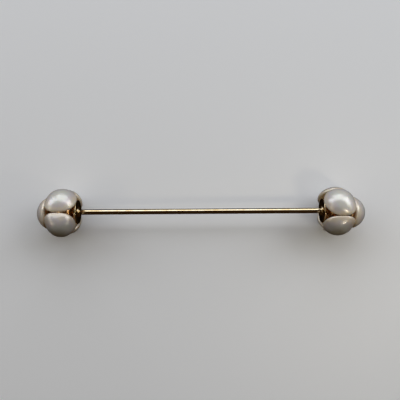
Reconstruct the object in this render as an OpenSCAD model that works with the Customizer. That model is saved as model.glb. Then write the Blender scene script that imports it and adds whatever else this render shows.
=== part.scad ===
// A dress bar pin: a slim polished gold rod with a ball of button pearls at each end.
// It lies along X on the surface that it rests on, which is the plane z = 0.
// Each ball has four pearls round the rod and one on its outer end. Every pearl is cemented
// on a peg in the middle of a small gold cup, and stems join the cups to a bead in the middle.

/* [Rod] */
// Thickness of the rod
rod_d = 1.1; // [1:0.1:1.3]
// Distance between the centres of the two pearl balls
ball_spacing = 55.9; // [40:0.2:80]
// Outer diameter of the collar where the rod goes into a setting
collar_d = 2; // [1.8:0.1:2.4]
// Thickness of the collar along the rod
collar_w = 0.5; // [0.4:0.1:0.7]

/* [Setting] */
// Diameter of the gold bead in the middle of a ball
hub_d = 4.2; // [3.6:0.1:4.6]
// Distance from the ball's centre to the face that a side pearl sits on
cup_reach = 2.88; // [2.86:0.01:2.96]
// Distance from the ball's centre to the face under the end pearl
end_cup_reach = 3.08; // [3.02:0.01:3.2]
// Diameter of a cup under a pearl
cup_d = 4.4; // [4:0.1:4.4]
// Thickness of a cup
cup_t = 0.4; // [0.35:0.05:0.45]
// Diameter of the dished cup that the rod comes out of
rod_cup_d = 5; // [4.6:0.1:5.2]
// Depth of its dish
dish_depth = 0.25; // [0.2:0.01:0.3]
// Diameter of the stems between the bead and the cups
stem_d = 1.8; // [1.6:0.1:2]
// Diameter of the pegs that the pearls are cemented on
peg_d = 0.8; // [0.6:0.05:0.9]
// Length of a peg above its cup
peg_length = 1.6; // [1:0.1:2]

/* [Pearls] */
// Roundness of a pearl's edge, as a radius
edge_r = 0.4; // [0.35:0.01:0.42]
// Gap between a pearl's back and its cup
seat_gap = 0.05; // [0.03:0.01:0.08]
// Clearance between a peg and the drilled hole round it, on each side
peg_gap = 0.05; // [0.03:0.01:0.1]

/* [Balls] */
// How far the left ball is turned round the rod, in degrees
left_turn = -2; // [-5:1:5]
// How far the right ball is turned round the rod, in degrees
right_turn = 12; // [8:1:16]

/* [Loose end] */
// Clearance between the rod's end and its socket, on each side
socket_gap = 0.05; // [0.03:0.01:0.1]
// How far the rod goes past the centre of the left ball
rod_past_centre = 0.6; // [0.2:0.1:0.9]

/* [Hidden] */
$fn = 96;
// Arcs that would only touch cross by this much instead, so that they meet in a clean edge.
crossing = 0.001;
// Longer than anything that it cuts
far = 20;

gold = "#d8b062";
pearl_white = "#e9e4dc";

// Columns of the pearl tables: the width of the pearl, the radius of its dome, and how far it
// sits off its place in the middle. Side pearls sit off outwards, away from the middle of the
// rod, and end pearls sit off towards the front. The last column is for side pearls: the way
// that the pearl faces, in degrees from straight up towards the front.
WIDTH = 0;
DOME = 1;
OFF = 2;
FACES = 3;
left_pearls = [
  [6.2, 3.5, 0, -45],
  [6, 3.05, 0.1, 45],
  [5.5, 2.81, 0, 139],
  [5.9, 3.16, 0, 224],
];
right_pearls = [
  [6.2, 3.45, 0, -45],
  [6.2, 3.4, 0, 45],
  [6, 3.55, 0, 135],
  [6.2, 3.65, 0, 225],
];
left_end = [6.3, 3.55, 0.2];
right_end = [6.4, 3.34, 0.4];

// A pearl's back lies just off its cup, and its edge circle is one radius above the back.
side_edge_reach = cup_reach + seat_gap + edge_r;
end_edge_reach = end_cup_reach + seat_gap + edge_r;

// Radius at which the centre of the edge circle runs round a pearl
function edge_ring_r(row) = row[WIDTH] / 2 - edge_r;
// How far the dome's centre lies behind the edge circle's plane
function dome_drop(row) =
  sqrt(pow(row[DOME] - edge_r + crossing, 2) - pow(edge_ring_r(row), 2));
// Reach of a side pearl in the direction that is a given angle from the way it faces
function side_reach(row, angle) =
  (side_edge_reach - dome_drop(row)) * cos(angle) + row[DOME];
// Reach of an end pearl along the rod
function end_reach(row) = end_edge_reach - dome_drop(row) + row[DOME];

// Furthest reach of a ball in a direction, given as an angle round the rod
function ball_reach(rows, turn, direction) =
  max([for (row = rows) side_reach(row, row[FACES] + turn - direction)]);
function part_reach(direction) =
  max(
    ball_reach(left_pearls, left_turn, direction),
    ball_reach(right_pearls, right_turn, direction)
  );

// These directions are angles round the rod too. The origin is under the middle of the whole
// part, on the surface that it rests on.
FRONT = 90;
DOWN = 180;
BACK = 270;
rod_z = part_reach(DOWN);
rod_y = (part_reach(FRONT) - part_reach(BACK)) / 2;
middle_x = (end_reach(left_end) - end_reach(right_end)) / 2;
left_x = middle_x - ball_spacing / 2;
right_x = middle_x + ball_spacing / 2;

// Stems start inside the bead, this far from its middle, where they are clear of one another.
stem_start = 0.6 * stem_d;
dish_r = (pow(rod_cup_d / 2, 2) + pow(dish_depth, 2)) / (2 * dish_depth);
// A collar's flat side lies this far under the bottom of the dish.
collar_sunk = 0.05;

// Half of a pearl's section, right of its axis: a dome, a round edge and a flat back.
module pearl_section(row) {
  ring_r = edge_ring_r(row);
  drop = dome_drop(row);
  intersection() {
    translate([0, crossing - edge_r]) square([far, far]);
    union() {
      intersection() {
        translate([0, -drop]) circle(r = row[DOME]);
        polygon([[0, -drop], [0, far], [ring_r, drop] * far - [0, drop]]);
      }
      translate([ring_r, 0]) circle(r = edge_r);
      translate([0, -edge_r]) square([ring_r, edge_r]);
    }
  }
}

// A pearl that faces +Z, with its edge circle in the plane z = 0 and a blind hole in its back.
module pearl(row) {
  hole_top = peg_length + peg_gap - seat_gap - edge_r;
  color(pearl_white)
    difference() {
      rotate_extrude() pearl_section(row);
      translate([0, 0, hole_top - far]) cylinder(d = peg_d + 2 * peg_gap, h = far);
    }
}

// Turns +Z to the way that a side pearl faces, to the far end, or back along the rod.
module facing_side(row) {
  translate([row[OFF], 0, 0]) rotate([row[FACES], 0, 0]) children();
}

module facing_out(row) {
  translate([0, -row[OFF], 0]) rotate([0, 90, 0]) children();
}

module facing_rod() {
  rotate([0, -90, 0]) children();
}

// Places a ball's own frame, in which +X points away from the rod.
module at_left_ball() {
  translate([left_x, rod_y, rod_z]) mirror([1, 0, 0]) rotate([left_turn, 0, 0]) children();
}

module at_right_ball() {
  translate([right_x, rod_y, rod_z]) rotate([right_turn, 0, 0]) children();
}

module side_pearl(row) {
  facing_side(row) translate([0, 0, side_edge_reach]) pearl(row);
}

module end_pearl(row) {
  facing_out(row) translate([0, 0, end_edge_reach]) pearl(row);
}

// A stem that goes out from inside the bead.
module stem(reach) {
  translate([0, 0, stem_start]) cylinder(d = stem_d, h = reach - stem_start);
}

// A cup at the end of its stem, with the peg that goes into the pearl.
module pearl_cup(reach) {
  stem(reach - cup_t / 2);
  translate([0, 0, reach - cup_t]) cylinder(d = cup_d, h = cup_t);
  translate([0, 0, reach - cup_t / 2]) cylinder(d = peg_d, h = peg_length + cup_t / 2);
}

// The round-edged collar, flat on the side away from the rod.
module collar() {
  ring_r = (collar_d - collar_w) / 2;
  rotate_extrude()
    intersection() {
      square([far, far]);
      union() {
        translate([ring_r, collar_w / 2]) circle(d = collar_w);
        square([ring_r, collar_w - crossing]);
      }
    }
}

// The dished cup at the end of its stem, with the collar in the middle of the dish.
module rod_cup() {
  dish_bottom = cup_reach - dish_depth;
  stem((dish_bottom + cup_reach - cup_t) / 2);
  difference() {
    translate([0, 0, cup_reach - cup_t]) cylinder(d = rod_cup_d, h = cup_t);
    translate([0, 0, dish_bottom + dish_r]) sphere(r = dish_r);
  }
  translate([0, 0, dish_bottom - collar_sunk]) collar();
}

// A bead with a cup for each pearl, and the dished cup on the rod's side.
module setting(rows, end_row) {
  facing_rod() sphere(d = hub_d);
  for (row = rows) facing_side(row) pearl_cup(cup_reach);
  facing_out(end_row) pearl_cup(end_cup_reach);
  facing_rod() rod_cup();
}

// The rod, soldered into the right setting. Its other end is a plain post in the left one.
module bar() {
  color(gold) {
    at_right_ball() setting(right_pearls, right_end);
    translate([left_x - rod_past_centre, rod_y, rod_z])
      rotate([0, 90, 0]) cylinder(d = rod_d, h = ball_spacing + rod_past_centre);
  }
}

// The setting that comes off the rod.
module left_setting() {
  color(gold)
    difference() {
      at_left_ball() setting(left_pearls, left_end);
      translate([left_x - rod_past_centre - socket_gap, rod_y, rod_z])
        rotate([0, 90, 0]) cylinder(d = rod_d + 2 * socket_gap, h = far);
    }
}

bar();
left_setting();
at_left_ball() end_pearl(left_end);  // left_end_pearl
at_left_ball() side_pearl(left_pearls[0]);  // left_top_back_pearl
at_left_ball() side_pearl(left_pearls[1]);  // left_top_front_pearl
at_left_ball() side_pearl(left_pearls[2]);  // left_under_front_pearl
at_left_ball() side_pearl(left_pearls[3]);  // left_under_back_pearl
at_right_ball() end_pearl(right_end);  // right_end_pearl
at_right_ball() side_pearl(right_pearls[0]);  // right_top_back_pearl
at_right_ball() side_pearl(right_pearls[1]);  // right_top_front_pearl
at_right_ball() side_pearl(right_pearls[2]);  // right_under_front_pearl
at_right_ball() side_pearl(right_pearls[3]);  // right_under_back_pearl
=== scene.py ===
# %% [markdown]
# # A bar pin with a ball of button pearls at each end
#
# The real thing is a slim polished gold rod, about 67 mm long over all, that is worn behind a
# tie or through the points of a collar. Each end carries a ball that is made of five button
# pearls: four round the rod and one on the outer end. Every pearl is cemented on a peg in the
# middle of a small gold cup, and the cups stand on stems that come out of one bead.
#
# The solids of the part are loaded first. They are the fixed frame that everything below is
# fitted to, so that no piece has to be placed by eye.

# %% The part's solids, as a fixed frame
import math
from collections import namedtuple

import bpy
from mathutils import Matrix, Vector


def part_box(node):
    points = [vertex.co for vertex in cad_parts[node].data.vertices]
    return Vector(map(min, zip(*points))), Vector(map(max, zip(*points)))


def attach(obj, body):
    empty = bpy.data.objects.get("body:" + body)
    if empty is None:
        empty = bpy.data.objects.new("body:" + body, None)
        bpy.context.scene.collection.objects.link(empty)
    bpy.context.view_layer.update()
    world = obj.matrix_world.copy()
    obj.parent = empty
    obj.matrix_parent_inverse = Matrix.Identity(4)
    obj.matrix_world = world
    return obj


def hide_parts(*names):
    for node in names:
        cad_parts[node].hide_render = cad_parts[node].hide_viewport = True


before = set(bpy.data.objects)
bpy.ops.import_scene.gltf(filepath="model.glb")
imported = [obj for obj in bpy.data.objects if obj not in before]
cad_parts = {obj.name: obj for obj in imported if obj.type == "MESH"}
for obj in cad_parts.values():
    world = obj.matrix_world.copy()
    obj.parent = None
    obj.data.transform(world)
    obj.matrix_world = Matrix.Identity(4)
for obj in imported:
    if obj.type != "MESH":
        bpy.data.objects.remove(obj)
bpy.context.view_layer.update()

bpy.ops.object.select_all(action="DESELECT")
print("solids:", ", ".join(sorted(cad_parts)))

# %% [markdown]
# ## The gold's sizes
#
# A jeweller works from sizes like these, in millimetres, and each helper further down turns
# them to metres while it draws. X runs along the rod, the back is +Y, and the part rests on
# z = 0. Every size has one name, so that a cup and the pearl on it can't drift apart when one
# of them is changed. A reach is measured from the middle of a ball of pearls.

# %% Sizes of the gold, in millimetres
MM = 0.001

# The rod's axis lies at this Y and Z, and its loose end goes this far past the left ball's middle
ROD_R = 0.55
ROD_Y = 0.085
ROD_Z = 4.851
ROD_PAST_CENTRE = 0.6
# The bead in the middle, and the stems that start inside it and carry the cups
HUB_R = 2.1
STEM_R = 0.9
STEM_START = 1.08
CUP_R = 2.2
CUP_T = 0.4
# To the face that a side pearl sits on, and to the one under an end pearl
CUP_REACH = 2.88
END_CUP_REACH = 3.08
PEG_R = 0.4
PEG_LENGTH = 1.6
# The cup without a pearl, on the rod's side, and the collar in the middle of its dish
ROD_CUP_R = 2.5
DISH_DEPTH = 0.25
COLLAR_R = 1.0
COLLAR_W = 0.5
# Clearance round a peg, under a pearl, and round the rod's end in its socket
GAP = 0.05
print("the rod is", 2 * ROD_R, "mm thick, and a side cup", 2 * CUP_R, "mm across")

# %% [markdown]
# ## The balls and their pearls
#
# Pearls are matched for a piece like this, but no two are alike, so they are measured one by one
# with a gauge. Their widths and domes differ by more than half a millimetre here. A few are
# painted a shade darker or paler than the rest: painted shade on the top front pearls, which face
# away from the lights, and painted light on one back pearl. One row for each pearl keeps its own
# numbers together, and everything that touches the pearl reads them from there.

# %% Balls and pearls, in millimetres and degrees
# The centre along X, the way along X that leads off the rod, and the turn round the rod
Ball = namedtuple("Ball", "x out turn")
BALLS = {"left": Ball(-28.164, -1, -2), "right": Ball(27.736, 1, 12)}

# How far three corners stand out: outer by the seam, rod's side by the seam, outer far corner
USUAL_SWELLS = (0.38, 0.16, 0.08)
# Width, radius of the dome, how far the pearl sits off its place, and the way it faces round the
# rod, from straight up towards the front. End pearls face along the rod instead. A tone of 1 is
# the usual shade. Less is darker, and is painted shade on the front pearls that face away from the
# lights. More is paler, and is painted light.
Pearl = namedtuple("Pearl", "width dome off faces tone swells", defaults=(1.0, USUAL_SWELLS))
PEARLS = {
    "left_top_back": Pearl(6.2, 3.5, 0, -45),
    "left_top_front": Pearl(6, 3.05, 0.1, 45, tone=0.74),
    "left_under_front": Pearl(5.5, 2.81, 0, 139),
    "left_under_back": Pearl(5.9, 3.16, 0, 224),
    "left_end": Pearl(6.3, 3.55, 0.2, None),
    "right_top_back": Pearl(6.2, 3.45, 0, -45, tone=1.06, swells=(0.42, -0.1, 0.08)),
    "right_top_front": Pearl(6.2, 3.4, 0, 45, tone=0.82),
    "right_under_front": Pearl(6, 3.55, 0, 135),
    "right_under_back": Pearl(6.2, 3.65, 0, 225),
    "right_end": Pearl(6.4, 3.34, 0.4, None),
}
widths = [shape.width for shape in PEARLS.values()]
print(len(PEARLS), "pearls,", min(widths), "to", max(widths), "mm wide")

# %% [markdown]
# ## Turned forms
#
# Nearly everything here is round about an axis: pearls grow and are ground that way, and the
# cups, the collar and the rod are turned or drawn. So one tool does most of the work. The half
# outline is drawn like a bent wire, point after point, and then spun a full turn about Z. A
# curve with a Screw modifier would do the same, but this leaves a plain mesh at once.
#
# The wire starts as a plane whose corners are merged to one point. Each next point is an
# extrusion of the last one, which is what pressing E again and again does by hand.

# %% Helpers that draw an outline and spin it
# Points that are closer than this, in metres, are one point.
SAME_POINT = 1e-7


def arc(x, z, radius, start, stop, count):
    """Points on an arc, by angle in degrees from straight outwards."""
    turns = [start + (stop - start) * n / count for n in range(count + 1)]
    return [
        (x + radius * math.cos(math.radians(a)), z + radius * math.sin(math.radians(a)))
        for a in turns
    ]


def draw_wire(name, outline):
    """A chain of edges in the XZ plane through the outline's points, left in edit mode."""
    points = [Vector((x, 0, z)) * MM for x, z in outline]
    bpy.ops.object.select_all(action="DESELECT")
    bpy.ops.mesh.primitive_plane_add(size=MM, location=(0, 0, 0))
    piece = bpy.context.object
    piece.name = piece.data.name = name
    bpy.ops.object.mode_set(mode="EDIT")
    bpy.ops.mesh.select_all(action="SELECT")
    bpy.ops.mesh.merge(type="CENTER")
    bpy.ops.transform.translate(value=points[0])
    for before, after in zip(points, points[1:]):
        if (after - before).length > SAME_POINT:
            bpy.ops.mesh.extrude_region_move(TRANSFORM_OT_translate={"value": after - before})
    return piece


def turned(name, outline, steps=96):
    """A closed form, turned about Z. The outline starts and ends on the axis."""
    piece = draw_wire(name, outline)
    bpy.ops.mesh.select_all(action="SELECT")
    bpy.ops.mesh.spin(steps=steps, angle=math.tau, center=(0, 0, 0), axis=(0, 0, 1))
    bpy.ops.mesh.select_all(action="SELECT")
    bpy.ops.mesh.remove_doubles(threshold=SAME_POINT)
    bpy.ops.mesh.normals_make_consistent(inside=False)
    bpy.ops.object.mode_set(mode="OBJECT")
    return piece


quarter = [(round(x, 2), round(z, 2)) for x, z in arc(0, 0, 1, 0, 90, 3)]
print("a quarter circle in three steps:", quarter)

# %% [markdown]
# ## Places round the rod
#
# A pearl or cup is drawn facing +Z, and one matrix then turns and moves it to its place. Side
# pearls are turned about the rod. The end pearl, and the cup on the rod's side, are turned
# about Y instead. Parents and empties could carry the pieces too, but a place that is applied
# to the mesh leaves every object at the origin, where the solids of the part have theirs.

# %% Matrices for the pearls and cups of a ball
def ball_centre(side):
    """The ball's own frame: its middle on the rod, and its turn round the rod."""
    ball = BALLS[side]
    centre = Matrix.Translation(Vector((ball.x, ROD_Y, ROD_Z)) * MM)
    return centre @ Matrix.Rotation(math.radians(ball.turn), 4, "X")


def facing_side(side, off, faces):
    """The place of a side pearl and its cup, turned about the rod."""
    shift = Matrix.Translation((BALLS[side].out * off * MM, 0, 0))
    return ball_centre(side) @ shift @ Matrix.Rotation(math.radians(faces), 4, "X")


def facing_out(side, off):
    """The place of an end pearl and its cup, which face off the rod."""
    shift = Matrix.Translation((0, -off * MM, 0))
    return ball_centre(side) @ shift @ Matrix.Rotation(math.radians(90 * BALLS[side].out), 4, "Y")


def facing_rod(side):
    """The place of the dished cup, which faces along the rod."""
    return ball_centre(side) @ Matrix.Rotation(math.radians(-90 * BALLS[side].out), 4, "Y")


def pearl_place(name):
    side, shape = name.split("_")[0], PEARLS[name]
    if shape.faces is None:
        return facing_out(side, shape.off)
    return facing_side(side, shape.off, shape.faces)


for side in BALLS:
    print(side, "ball at", [round(c / MM, 3) for c in ball_centre(side).translation], "mm")

# %% [markdown]
# ## Working on one piece at a time
#
# An operator acts on all that is selected. So before a piece is moved to its place, or has its
# modifiers applied, it is taken up alone, as a jeweller takes up one part with the tweezers.

# %% Helpers that take up a piece, settle it and apply its modifiers
def take_up(piece):
    """Selects this piece alone and makes it the active one."""
    bpy.ops.object.select_all(action="DESELECT")
    piece.select_set(True)
    bpy.context.view_layer.objects.active = piece


def settle(piece, place):
    """Moves a piece to its place and keeps the place in its mesh."""
    take_up(piece)
    piece.matrix_world = place
    bpy.ops.object.transform_apply(location=True, rotation=True, scale=True)
    return piece


def apply_all(piece):
    """Applies a piece's modifiers in order."""
    take_up(piece)
    for modifier in list(piece.modifiers):
        bpy.ops.object.modifier_apply(modifier=modifier.name)
    return piece


print("taken up so far:", len(bpy.context.selected_objects), "pieces")

# %% [markdown]
# ## The outline of a button pearl
#
# A button pearl is a low dome with a nearly flat back. It grows in nacre, layer on layer, and
# its edge is always soft. Squashing a sphere would give the look but not the fit, and the back
# has to lie just over its cup. So the section is drawn: the dome is one arc, the edge a smaller
# arc that leaves it in the same direction, and the drilled hole for the peg opens in the back.

# %% Half the section of a pearl
EDGE_R = 0.4
HOLE_R = PEG_R + GAP


def seat(shape):
    """The reach of the gold face that this pearl sits on."""
    return END_CUP_REACH if shape.faces is None else CUP_REACH


def edge_height(shape):
    """Where the middle of a pearl's round edge lies, as a reach."""
    return seat(shape) + GAP + EDGE_R


def pearl_outline(shape):
    """The dome, the round edge, the back and the hole, from the crown to the hole's end."""
    ring_r = shape.width / 2 - EDGE_R
    edge_z = edge_height(shape)
    drop = math.sqrt((shape.dome - EDGE_R) ** 2 - ring_r**2)
    leaves = math.degrees(math.atan2(drop, ring_r))
    hole_top = seat(shape) + PEG_LENGTH + GAP
    return (
        arc(0, edge_z - drop, shape.dome, 90, leaves, 30)
        + arc(ring_r, edge_z, EDGE_R, leaves, -90, 12)[1:]
        + [(HOLE_R, edge_z - EDGE_R), (HOLE_R, hole_top), (0, hole_top)]
    )


print("points in a pearl's outline:", len(pearl_outline(PEARLS["left_end"])))

# %% [markdown]
# ## Cushions more than circles
#
# A pearl that is exactly round looks like a plastic bead. The corners of these ones are full
# by the seams, so that five of them close into a ball. So after the spin the rim of each side
# pearl is drawn out at three corners with soft proportional editing, most of all where two
# side pearls meet the end pearl. One corner of one pearl is pushed in instead.

# %% Drawing out the corners of a side pearl
# The points of the rim that are pulled: those that reach this share of the way to the outside
PULLED_FROM = 0.985
# How far round them the pearl follows, in millimetres
SWELL_SIZE = 2.2
# Each pearl's fuller side, along its own Y, is turned to the seam on top or to the one beneath
SEAM_SIDE = {"top_back": -1, "top_front": 1, "under_front": -1, "under_back": 1}


def swell(pearl, way, amount):
    """Draws the rim out towards one side, with soft proportional editing around it."""
    towards = Vector((way.x, way.y, 0)).normalized()
    reach = max(vertex.co.x for vertex in pearl.data.vertices)
    bpy.ops.object.mode_set(mode="EDIT")
    bpy.ops.mesh.select_all(action="DESELECT")
    bpy.ops.object.mode_set(mode="OBJECT")
    for vertex in pearl.data.vertices:
        vertex.select = vertex.co.dot(towards) > reach * PULLED_FROM
    bpy.ops.object.mode_set(mode="EDIT")
    bpy.ops.transform.translate(
        value=towards * amount * MM,
        use_proportional_edit=True,
        proportional_edit_falloff="SMOOTH",
        proportional_size=SWELL_SIZE * MM,
    )
    bpy.ops.object.mode_set(mode="OBJECT")


def swell_corners(pearl, name):
    side, place = name.split("_", 1)
    outwards = Vector((BALLS[side].out, 0))
    seam = Vector((0, SEAM_SIDE[place]))
    corners = (outwards + seam, seam - outwards, outwards - seam)
    for way, amount in zip(corners, PEARLS[name].swells):
        swell(pearl, way, amount)


print("corners stand out by up to", max(max(p.swells) for p in PEARLS.values()), "mm")

# %% [markdown]
# ## What the nacre needs to know
#
# The colour of a pearl changes from its crown to its edge, and from pearl to pearl. Both changes
# carry painted light: the edge is painted paler for the light in the seams, and the pearls that
# face away from the lights are painted darker as shade. Painting ten pearls by hand would do it,
# but both changes follow from numbers that are known here. So they are written on the pearl's
# points while it still stands upright, and its material reads them further down.

# %% Helpers that measure a dome and write on its points
# The top of the hole is under this share of the dome's height.
HOLE_BELOW = 0.9


def heights_on_dome(pearl, edge_z):
    """How far up the dome each point is: 1 on the crown, 0 at the edge, behind it and inside."""
    rise = max(vertex.co.z for vertex in pearl.data.vertices) / MM - edge_z
    heights = []
    for vertex in pearl.data.vertices:
        height = (vertex.co.z / MM - edge_z) / rise
        from_axis = math.hypot(vertex.co.x, vertex.co.y) / MM
        in_hole = from_axis < HOLE_R + GAP and height < HOLE_BELOW
        heights.append(0.0 if in_hole else min(max(height, 0.0), 1.0))
    return heights


def write_on(pearl, name, values):
    """Keeps one number for each point, which a material can read by its name."""
    pearl.data.attributes.new(name, "FLOAT", "POINT").data.foreach_set("value", values)


print("tones:", sorted({shape.tone for shape in PEARLS.values()}))

# %% [markdown]
# ## Uneven growth
#
# Nacre never grows to a perfect dome. A Displace modifier with a soft cloud texture presses
# each dome in by a few hundredths of a millimetre, here and there. A vertex group fades it out
# towards the edge, so the pearl still fits its cup. It only ever presses in, so no pearl
# outgrows its solid.

# %% Pressing in the dome
PRESS_SIZE = 2.6
PRESS_DEPTH = 0.08
# The press has its full depth from this share of the way up the dome.
PRESSED_FROM = 1 / 3

growth = bpy.data.textures.new("uneven growth", "CLOUDS")
growth.noise_scale = PRESS_SIZE * MM
growth.noise_depth = 1


def press_in(pearl, heights):
    group = pearl.vertex_groups.new(name="dome")
    for index, height in enumerate(heights):
        group.add([index], min(height / PRESSED_FROM, 1.0), "REPLACE")
    press = pearl.modifiers.new("uneven growth", "DISPLACE")
    press.texture = growth
    press.texture_coords = "LOCAL"
    press.vertex_group = "dome"
    press.mid_level = 1
    press.strength = PRESS_DEPTH * MM
    apply_all(pearl)


print("domes are pressed in by up to", PRESS_DEPTH, "mm")

# %% [markdown]
# ## The ten pearls
#
# Each pearl goes through the same steps with its own numbers: turned, swelled, written on,
# settled over its cup and pressed. A drilled hole has sharp edges and a dome has none, so
# shading by angle keeps the one and smooths the other.

# %% Ten pearls, each to its own size
SMOOTH_PEARL = math.radians(40)


def button_pearl(name):
    shape = PEARLS[name]
    pearl = turned(name + "_button_pearl", pearl_outline(shape))
    heights = heights_on_dome(pearl, edge_height(shape))
    if shape.faces is not None:
        swell_corners(pearl, name)
    write_on(pearl, "edge", [1 - height for height in heights])
    # A tone below 1 is painted shade on a pearl that faces away from the lights, and a tone above
    # 1 is painted light.
    write_on(pearl, "tone", [shape.tone] * len(heights))
    settle(pearl, pearl_place(name))
    press_in(pearl, heights)
    bpy.ops.object.shade_smooth_by_angle(angle=SMOOTH_PEARL)
    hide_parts(name + "_pearl")
    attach(pearl, "root")
    return pearl


def off_by(piece, node):
    """The largest difference between a piece's box and its solid's box, in millimetres."""
    low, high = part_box(node)
    gaps = []
    for axis in range(3):
        values = [corner[axis] for corner in piece.bound_box]
        gaps += [abs(min(values) - low[axis]), abs(max(values) - high[axis])]
    return max(gaps) / MM


pearls = {name: button_pearl(name) for name in PEARLS}
worst = max(off_by(pearl, name + "_pearl") for name, pearl in pearls.items())
print(len(pearls), "pearls made, boxes off their solids by at most", round(worst, 3), "mm")

# %% [markdown]
# ## The cups
#
# Each cup, its peg and its stem are turned as one outline: down the peg, out over the cup's
# face, round its rim, back along the underside and down the stem. Polishing never leaves a
# sharp corner on gold, so every outer corner of the outline is a small arc.
#
# The cup on the rod's side has no pearl. Its face is a shallow dish, and the rod comes out of
# a round collar in the middle of it.

# %% Outlines of the cups
RIM_R = 0.12
# Roundness of the ends of pegs and rods
SOFT_R = 0.1


def cup_outline(reach):
    back = reach - CUP_T
    peg_end = reach + PEG_LENGTH
    return (
        [(0, peg_end)]
        + arc(PEG_R - SOFT_R, peg_end - SOFT_R, SOFT_R, 90, 0, 4)
        + [(PEG_R, reach)]
        + arc(CUP_R - RIM_R, reach - RIM_R, RIM_R, 90, 0, 6)
        + arc(CUP_R - RIM_R, back + RIM_R, RIM_R, 0, -90, 6)
        + [(STEM_R, back), (STEM_R, STEM_START), (0, STEM_START)]
    )


def rod_cup_outline():
    back = CUP_REACH - CUP_T
    dish_bottom = CUP_REACH - DISH_DEPTH
    dish_r = (ROD_CUP_R**2 + DISH_DEPTH**2) / (2 * DISH_DEPTH)
    collar_z = dish_bottom + COLLAR_W / 2
    # The dish is an arc from beside the collar to just inside the rim. The collar's own arc
    # goes on a little past its widest point and ends where it meets the dish.
    inner = math.degrees(math.asin(COLLAR_R / dish_r))
    outer = math.degrees(math.asin((ROD_CUP_R - 2 * RIM_R) / dish_r))
    return (
        [(0, collar_z + COLLAR_W / 2)]
        + arc(COLLAR_R - COLLAR_W / 2, collar_z, COLLAR_W / 2, 90, -70, 12)
        + arc(0, dish_bottom + dish_r, dish_r, inner - 90, outer - 90, 16)[1:]
        + arc(ROD_CUP_R - RIM_R, CUP_REACH - RIM_R, RIM_R, 90, -90, 10)
        + [(ROD_CUP_R - RIM_R, back), (STEM_R, back), (STEM_R, STEM_START), (0, STEM_START)]
    )


print("points in the outlines:", len(cup_outline(CUP_REACH)), "and", len(rod_cup_outline()))

# %% [markdown]
# ## The gold settings and the rod
#
# A jeweller solders the six stems into a bead. Here they are joined by Boolean unions, which
# leave one closed skin, as solder does. The rod is soldered into the right setting, so the two
# are one piece. The left setting comes off the rod, so a plain socket is cut into it.

# %% Helpers that join the gold
ROD_STEPS = 64


def join(piece, other, operation="UNION"):
    """Unites two closed forms, or cuts the second out of the first."""
    joint = piece.modifiers.new("join", "BOOLEAN")
    joint.operation = operation
    joint.solver = "EXACT"
    joint.object = other
    apply_all(piece)
    bpy.data.objects.remove(other)
    return piece


def setting(side, name):
    """A bead with a cup for each pearl of the ball, and the dished cup on the rod's side."""
    piece = settle(turned(name, arc(0, 0, HUB_R, 90, -90, 40)), facing_rod(side))
    for pearl_name, shape in PEARLS.items():
        if pearl_name.startswith(side):
            cup = turned("cup", cup_outline(seat(shape)))
            join(piece, settle(cup, pearl_place(pearl_name)))
    return join(piece, settle(turned("rod cup", rod_cup_outline()), facing_rod(side)))


def rod(name, radius, start, stop):
    """A round rod along X with softly rounded ends."""
    outline = (
        [(0, start)]
        + arc(radius - SOFT_R, start + SOFT_R, SOFT_R, -90, 0, 4)
        + arc(radius - SOFT_R, stop - SOFT_R, SOFT_R, 0, 90, 4)
        + [(0, stop)]
    )
    along_x = Matrix.Rotation(math.radians(90), 4, "Y")
    place = Matrix.Translation(Vector((0, ROD_Y, ROD_Z)) * MM) @ along_x
    return settle(turned(name, outline, ROD_STEPS), place)


rod_end = BALLS["left"].x - ROD_PAST_CENTRE
print("the rod runs from", round(rod_end, 3), "to", BALLS["right"].x, "mm along X")

# %% [markdown]
# ## Two pieces of gold, with closed skins
#
# So many unions leave points that almost coincide, and a pin-hole or two beside them. They
# are too small to see, but a mesh that others print or weigh has to be closed. So near points
# are merged, small holes are filled, and the open edges that are left are counted.

# %% The bar with its right setting, and the left setting
# The tool that cuts the socket goes on to this far past the ball's centre, out of the setting.
CUTTER_PAST = 10
SMOOTH_GOLD = math.radians(35)


def close_skin(piece):
    """Merges near points, fills small holes and returns how many edges are still open."""
    take_up(piece)
    bpy.ops.object.mode_set(mode="EDIT")
    bpy.ops.mesh.select_all(action="SELECT")
    bpy.ops.mesh.remove_doubles(threshold=2 * SAME_POINT)
    bpy.ops.mesh.fill_holes(sides=4)
    bpy.ops.mesh.select_all(action="DESELECT")
    bpy.ops.mesh.select_non_manifold()
    bpy.ops.object.mode_set(mode="OBJECT")
    return sum(edge.select for edge in piece.data.edges)


gold_bar = setting("right", "gold_bar_and_right_setting")
join(gold_bar, rod("rod", ROD_R, rod_end, BALLS["right"].x))

left_setting = setting("left", "gold_left_setting")
socket = rod("socket", ROD_R + GAP, rod_end - GAP, BALLS["left"].x + CUTTER_PAST)
join(left_setting, socket, "DIFFERENCE")

for piece, node in ((gold_bar, "bar"), (left_setting, "left_setting")):
    print(piece.name, "has", close_skin(piece), "open edges")
    bpy.ops.object.shade_smooth_by_angle(angle=SMOOTH_GOLD)
    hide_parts(node)
    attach(piece, "root")
    print(len(piece.data.polygons), "faces, off its solid by", round(off_by(piece, node), 3), "mm")

# %% [markdown]
# ## Colours and nodes
#
# Colours are written as they are picked from a screen, in hex. Shaders want linear light, so
# one function converts them. Another small one adds a node with its settings and its links,
# which keeps each material short enough to read as a recipe.

# %% Helpers for materials
def linear(code):
    """An sRGB hex colour as linear RGBA."""
    parts = [int(code[i : i + 2], 16) / 255 for i in (1, 3, 5)]
    return tuple(
        p / 12.92 if p <= 0.04045 else ((p + 0.055) / 1.055) ** 2.4 for p in parts
    ) + (1.0,)


def feed(owner, node, links):
    """Links other nodes' outputs into a node of a material or world."""
    for socket, output in links.items():
        owner.node_tree.links.new(output, node.inputs[socket])


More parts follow.
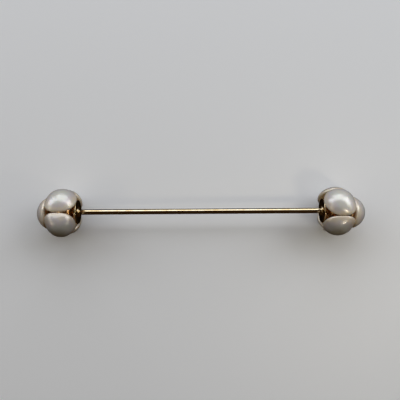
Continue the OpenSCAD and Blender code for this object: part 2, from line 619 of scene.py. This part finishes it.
def add(owner, kind, settings=None, links=None):
    """Adds a node to a material or world, sets its sockets or properties, and feeds it."""
    node = owner.node_tree.nodes.new(kind)
    for key, value in (settings or {}).items():
        if key in node.inputs:
            node.inputs[key].default_value = value
        else:
            setattr(node, key, value)
    feed(owner, node, links or {})
    return node


def new_material(name, settings):
    """A material, and its shader with these settings, which are the same all over."""
    material = bpy.data.materials.new(name)
    material.use_nodes = True
    shader = material.node_tree.nodes["Principled BSDF"]
    for socket, value in settings.items():
        shader.inputs[socket].default_value = value
    return material, shader


def per_metre(size_mm):
    """The Scale of a texture whose features are this many millimetres apart."""
    return 1 / (size_mm * MM)


print("middle grey on the screen is", round(linear("#808080")[0], 3), "in linear light")

# %% [markdown]
# ## Nacre
#
# Mother of pearl is thin plates of aragonite in hundreds of layers, and it leaves the shell
# already smooth. Light goes in and comes back from many depths. So the eye gets a soft, silvery
# glow under a sharper and weaker mirror, and never a hard reflection as on glass.
#
# The glow is the main gloss, with a small share of metal in it, and the mirror is the coat.
# Some light also travels under the skin and softens the shade. The body is a cool greenish white
# on the crown, has a hint of rose further down, and is a paler warm cream at the edge. That paler
# edge is painted light: it stands for the light that the neighbouring pearls and the gold throw
# into the seams. A broad noise pushes these rings about, because they are never regular, in clouds
# that are a few millimetres wide as on real pearls.

# %% The body of the nacre
# From the crown of the dome, at 0, to its edge. The paler stops towards the edge are painted light
# from the seams.
NACRE_TINTS_AND_SEAM_LIGHT = {0: "#DEDACF", 0.3: "#DFDAD4", 0.5: "#E5DAD8", 0.72: "#EEE0D0", 1: "#F8E6D0"}
CLOUD_SIZE = 3.2
# The clouds push the rings up or down by this share of the dome's height.
RING_DRIFT = 0.25

nacre, shader = new_material("nacre, cultured button pearl", {
    "Metallic": 0.2,
    "Roughness": 0.31,
    "IOR": 1.6,
    "Subsurface Weight": 0.3,
    "Subsurface Radius": (1.0, 0.75, 0.5),
    "Subsurface Scale": 1.5 * MM,
    "Coat Weight": 0.6,
    "Coat Roughness": 0.16,
    "Coat IOR": 1.6,
})
place = add(nacre, "ShaderNodeTexCoord")
edge = add(nacre, "ShaderNodeAttribute", {"attribute_name": "edge"})
clouds = add(nacre, "ShaderNodeTexNoise", {"Scale": per_metre(CLOUD_SIZE), "Detail": 2.0},
             {"Vector": place.outputs["Object"]})
drift = add(nacre, "ShaderNodeMapRange",
            {"From Min": 0.3, "From Max": 0.7, "To Min": -RING_DRIFT, "To Max": RING_DRIFT},
            {"Value": clouds.outputs["Fac"]})
depth = add(nacre, "ShaderNodeMath", {"operation": "ADD"},
            {0: edge.outputs["Fac"], 1: drift.outputs["Result"]})
tints = add(nacre, "ShaderNodeValToRGB", links={"Fac": depth.outputs["Value"]})
# A new ramp has stops at 0 and 1, so only those between them are added.
for position in list(NACRE_TINTS_AND_SEAM_LIGHT)[1:-1]:
    tints.color_ramp.elements.new(position)
for stop, code in zip(tints.color_ramp.elements, NACRE_TINTS_AND_SEAM_LIGHT.values()):
    stop.color = linear(code)
# The tone darkens or brightens the whole pearl, as painted shade and painted light.
tone = add(nacre, "ShaderNodeAttribute", {"attribute_name": "tone"})
body = add(nacre, "ShaderNodeHueSaturation",
           links={"Value": tone.outputs["Fac"], "Color": tints.outputs["Color"]})
feed(nacre, shader, {"Base Color": body.outputs["Color"]})
print("the nacre has", len(tints.color_ramp.elements), "tints from crown to edge")

# %% [markdown]
# ## The skin of the nacre
#
# Seen closely, nacre is never as smooth as glass. It grows in low waves, which blur and break
# up what it mirrors. The real waves are finer than a hair and could not show here, so the bump
# that stands for them is coarser and deeper.

# %% Waves in the skin, and nacre on every pearl
WAVE_SIZE = 1.3
WAVE_DEPTH = 0.07

skin = add(nacre, "ShaderNodeTexNoise", {"Scale": per_metre(WAVE_SIZE), "Detail": 3.0},
           {"Vector": place.outputs["Object"]})
waves = add(nacre, "ShaderNodeBump", {"Strength": 0.5, "Distance": WAVE_DEPTH * MM},
            {"Height": skin.outputs["Fac"]})
feed(nacre, shader, {"Normal": waves.outputs["Normal"]})
for pearl in pearls.values():
    pearl.data.materials.append(nacre)
print("nacre on", len(pearls), "pearls")

# %% [markdown]
# ## Metal in two tones
#
# Old jewellery is never one even colour. Hands, cloth and soap brighten it in one place and
# leave a film in another, in soft patches. All the gold here starts with that: a noise at the
# size of the patches chooses between a darker and a lighter tone.

# %% A helper for patchy metal
def two_tones(metal, shader, size, detail, tones):
    """Colours a metal in soft patches of two tones, each with its place on the noise's scale."""
    place = add(metal, "ShaderNodeTexCoord")
    patches = add(metal, "ShaderNodeTexNoise", {"Scale": per_metre(size), "Detail": detail},
                  {"Vector": place.outputs["Object"]})
    tone = add(metal, "ShaderNodeValToRGB", links={"Fac": patches.outputs["Fac"]})
    for stop, (position, code) in zip(tone.color_ramp.elements, tones.items()):
        stop.position = position
        stop.color = linear(code)
    feed(metal, shader, {"Base Color": tone.outputs["Color"]})


print("patches 1 mm wide need a noise scale of", round(per_metre(1)))

# %% [markdown]
# ## Gold, polished, and bare with painted shade
#
# The metal is a pale yellow gold, polished with a soft wheel and then worn for years. To the eye
# that is clear reflections, drawn out to thin bright lines along the rod, under a faint haze of
# fine scratches that run mostly along it. No wheel gets in between the cups, so the gold there is
# bare and duller. It is also painted redder and darker: painted shade between the cups, and
# painted reflection of the gold in itself there. Both come from one recipe, in which wear changes
# the tone in patches a millimetre or two wide.
#
# A noise that is drawn out along X makes the scratches, which change the roughness and give a
# very low bump. Real ones are a few hundredths of a millimetre apart, so they are coarser here
# to show.

# %% Polished gold, and bare gold with painted shade inside the settings
WEAR_SIZE = 1.6
SCRATCH_SIZE = 0.12
SCRATCH_DEPTH = 0.004
# The pattern is this much slower along X, so a scratch is about twelve times as long as wide.
DRAWN_OUT = 0.08


def gold_finish(name, darker, lighter, roughness):
    """Gold with haze and scratches along X. Roughness is given as its least and its most."""
    gold, shader = new_material(name, {"Metallic": 1.0})
    two_tones(gold, shader, WEAR_SIZE, 3.0, {0.35: darker, 0.6: lighter})
    place = add(gold, "ShaderNodeTexCoord")
    along = add(gold, "ShaderNodeMapping", {"Scale": (DRAWN_OUT, 1.0, 1.0)},
                {"Vector": place.outputs["Object"]})
    scratches = add(gold, "ShaderNodeTexNoise", {"Scale": per_metre(SCRATCH_SIZE), "Detail": 4.0},
                    {"Vector": along.outputs["Vector"]})
    haze = add(gold, "ShaderNodeMapRange",
               {"From Min": 0.3, "From Max": 0.75, "To Min": roughness[0], "To Max": roughness[1]},
               {"Value": scratches.outputs["Fac"]})
    dents = add(gold, "ShaderNodeBump", {"Strength": 0.2, "Distance": SCRATCH_DEPTH * MM},
                {"Height": scratches.outputs["Fac"]})
    feed(gold, shader, {"Roughness": haze.outputs["Result"], "Normal": dents.outputs["Normal"]})
    return gold


polished = gold_finish("polished yellow gold", "#E8CB9A", "#F4E2BE", (0.08, 0.17))
# Inside the settings the gold is duller, and its darker, redder colours are painted shade and
# painted reflection of gold in gold.
bare_painted_shade = gold_finish("bare gold inside the setting", "#CC9A66", "#E4BC8A", (0.2, 0.34))
print("scratches are", SCRATCH_SIZE, "mm apart and about", SCRATCH_SIZE / DRAWN_OUT, "mm long")

# %% [markdown]
# ## The dishes, painted dark
#
# No wheel reaches into the dish round the collar either. It looks almost black, because the
# polished dish mirrors the dark room round it, and that dark reflection is painted into its
# colour: a dark brown, dull metal that still has some gold showing through it, in patches about a
# millimetre wide.
#
# The finishes belong to places on the gold, so each face is given one by where it lies, seen
# from the dish, with +Z along the rod. That needs no painting and no seams.

# %% The dish, painted dark as a reflection, and a finish for every face of the gold
DARK_REFLECTION_PATCH_SIZE = 0.9
# A face has to lie this far, in millimetres, past the line between two finishes.
PAST_LINE = 0.02
# A face looks along the rod when this much of its normal does.
LOOKS_ALONG = 0.9

# The dish's dark brown colour and dark specular tint are a painted reflection of the dark room
# that the polished dish mirrors.
painted_dark_reflection, shader = new_material("tarnished gold of the dish", {
    "Metallic": 0.7,
    "Roughness": 0.45,
    "Specular Tint": linear("#4E3A20"),
})
two_tones(painted_dark_reflection, shader, DARK_REFLECTION_PATCH_SIZE, 4.0, {0.35: "#2E2214", 0.7: "#4E3A20"})

finishes = (polished, bare_painted_shade, painted_dark_reflection)


def finish_of(face, to_dish):
    """The finish of a face, by its place and normal in the frame of the dish."""
    centre = to_dish @ face.center / MM
    # Faces behind the backs of the cups get the bare gold, which is painted darker and redder as
    # shade.
    if centre.z < CUP_REACH - CUP_T - PAST_LINE:
        return bare_painted_shade
    from_axis = math.hypot(centre.x, centre.y)
    # The ring of the dish that looks along the rod gets the gold that is painted dark, as its
    # reflection of the dark room.
    in_ring = COLLAR_R + PAST_LINE < from_axis < ROD_CUP_R - RIM_R and centre.z < CUP_REACH
    looks_along = (to_dish.to_3x3() @ face.normal).z > LOOKS_ALONG
    return painted_dark_reflection if in_ring and looks_along else polished


for piece, side in ((gold_bar, "right"), (left_setting, "left")):
    piece.data.materials.clear()
    for finish in finishes:
        piece.data.materials.append(finish)
    to_dish = facing_rod(side).inverted()
    for face in piece.data.polygons:
        face.material_index = finishes.index(finish_of(face, to_dish))
    indices = [face.material_index for face in piece.data.polygons]
    print(piece.name, {finish.name: indices.count(n) for n, finish in enumerate(finishes)})

# %% [markdown]
# ## The floor
#
# The part lies on a plain pale sheet of matt paper. The photograph was taken over a black
# ground, and the pearls and the rod show its darkness in their reflections. So the pale sheet
# is left out of what shiny things mirror, and it throws no light back up. It ends before it
# passes under the lights, because behind them it would be dark in views from low down.

# %% A sheet of pale matt paper
SHEET_WIDTH = 800

bpy.ops.mesh.primitive_plane_add(size=SHEET_WIDTH * MM, location=(0, 0, 0))
floor = bpy.context.object
floor.name = "floor"
paper = new_material("matt pale paper", {"Base Color": linear("#FAF8F8"), "Roughness": 0.9})[0]
floor.data.materials.append(paper)
floor.visible_glossy = False
floor.visible_diffuse = False
print("the sheet is", round(floor.dimensions.x / MM), "mm wide")

# %% [markdown]
# ## Soft boxes
#
# Small shiny things are photographed between soft boxes, and the shapes of the boxes are what
# one sees in them. Three large cool ones stand to the left, to the right and behind, and light
# the pearls at the back. Two narrow warm ones at the sides draw upright streaks, and two small
# lamps, a little further to the front, put warm points on the pearls there. No large light
# stands in front, so the front pearls are in shade, as they are in the photograph.
#
# Each box is set by where it stands, its size and how bright its face is. Brightness per area
# stays the same when a box is moved or made larger, which makes it easier to match than watts.

# %% Lights round the part
def soft_box(name, azimuth, elevation, distance, width, height, radiance, colour):
    """A rectangular light that faces the part. Azimuth 0 is to the right and 90 at the back."""
    a, e = math.radians(azimuth), math.radians(elevation)
    direction = Vector((math.cos(a) * math.cos(e), math.sin(a) * math.cos(e), math.sin(e)))
    bpy.ops.object.light_add(type="AREA", location=direction * distance * MM)
    light = bpy.context.object
    light.name = name
    light.rotation_euler = direction.to_track_quat("Z", "Y").to_euler()
    light.data.shape = "RECTANGLE"
    light.data.size = width * MM
    light.data.size_y = height * MM
    # A matt face sends out pi times its radiance from each square metre.
    light.data.energy = radiance * math.pi * width * height * MM**2
    light.data.color = linear(colour)[:3]
    print(name, round(light.data.energy, 4), "W")


# Azimuth and elevation in degrees, distance, width and height in millimetres, and radiance
soft_box("left box", 146, 24, 500, 250, 340, 2.15, "#F0F8FF")
soft_box("right box", 34, 30, 500, 280, 320, 3.0, "#F2F8FF")
soft_box("back box", 92, 31, 500, 580, 440, 1.92, "#F0F7FF")
soft_box("left strip", 176, 38, 400, 100, 140, 1.1, "#FEFCDC")
soft_box("right strip", 5, 34, 400, 100, 140, 1.25, "#FFF8C8")
soft_box("left lamp", 197, 37, 250, 40, 40, 3.4, "#FFEBC8")
soft_box("right lamp", -26, 44, 80, 9, 9, 14.4, "#FFF6DC")

# %% [markdown]
# ## The room
#
# A real room gives back a little of every light. Here it is a very weak warm glow, because the
# photograph's shadows are deep. The camera alone sees a pale backdrop instead of that dark
# room, in the views that look over the edge of the sheet. A Light Path node tells the two
# apart: it knows whether a ray comes straight from the camera.

# %% A dim room with a pale backdrop
room = bpy.data.worlds.new("room")
bpy.context.scene.world = room
room.use_nodes = True
dim = room.node_tree.nodes["Background"]
dim.inputs["Color"].default_value = linear("#FFC080")
dim.inputs["Strength"].default_value = 0.02
pale = add(room, "ShaderNodeBackground", {"Color": linear("#C9CACC"), "Strength": 1.0})
seen = add(room, "ShaderNodeLightPath")
both = add(room, "ShaderNodeMixShader",
           links={0: seen.outputs["Is Camera Ray"], 1: dim.outputs["Background"],
                  2: pale.outputs["Background"]})
feed(room, room.node_tree.nodes["World Output"], {"Surface": both.outputs["Shader"]})
bpy.context.scene.view_settings.view_transform = "Standard"
print("nodes in the room:", len(room.node_tree.nodes))

# %% [markdown]
# ## The camera
#
# The photograph looks straight down on the bar, as a lens of about 40 mm on a 36 mm sensor does
# from 93 mm above the rod. A small turn of the camera gives the rod its slight slope in the
# picture, and the camera stands a little behind the rod, which puts the rod just under the
# middle. The values come from lines and edges that were measured in the photograph.

# %% Camera above the bar, in millimetres and degrees
CAMERA_X = -0.22
CAMERA_ABOVE_ROD = 92.9
CAMERA_BEHIND_ROD = 2.343
CAMERA_TURN = math.radians(-0.39)
bpy.ops.object.camera_add()
camera = bpy.context.object
camera.name = "camera"
camera.location = Vector((
    CAMERA_X - CAMERA_BEHIND_ROD * math.sin(CAMERA_TURN),
    ROD_Y + CAMERA_BEHIND_ROD * math.cos(CAMERA_TURN),
    ROD_Z + CAMERA_ABOVE_ROD,
)) * MM
camera.rotation_euler = (0, 0, CAMERA_TURN)
camera.data.sensor_width = 36
camera.data.lens = 40.51
camera.data.clip_start = 1 * MM
bpy.context.scene.camera = camera
print("camera at", [round(c / MM, 2) for c in camera.location], "mm")
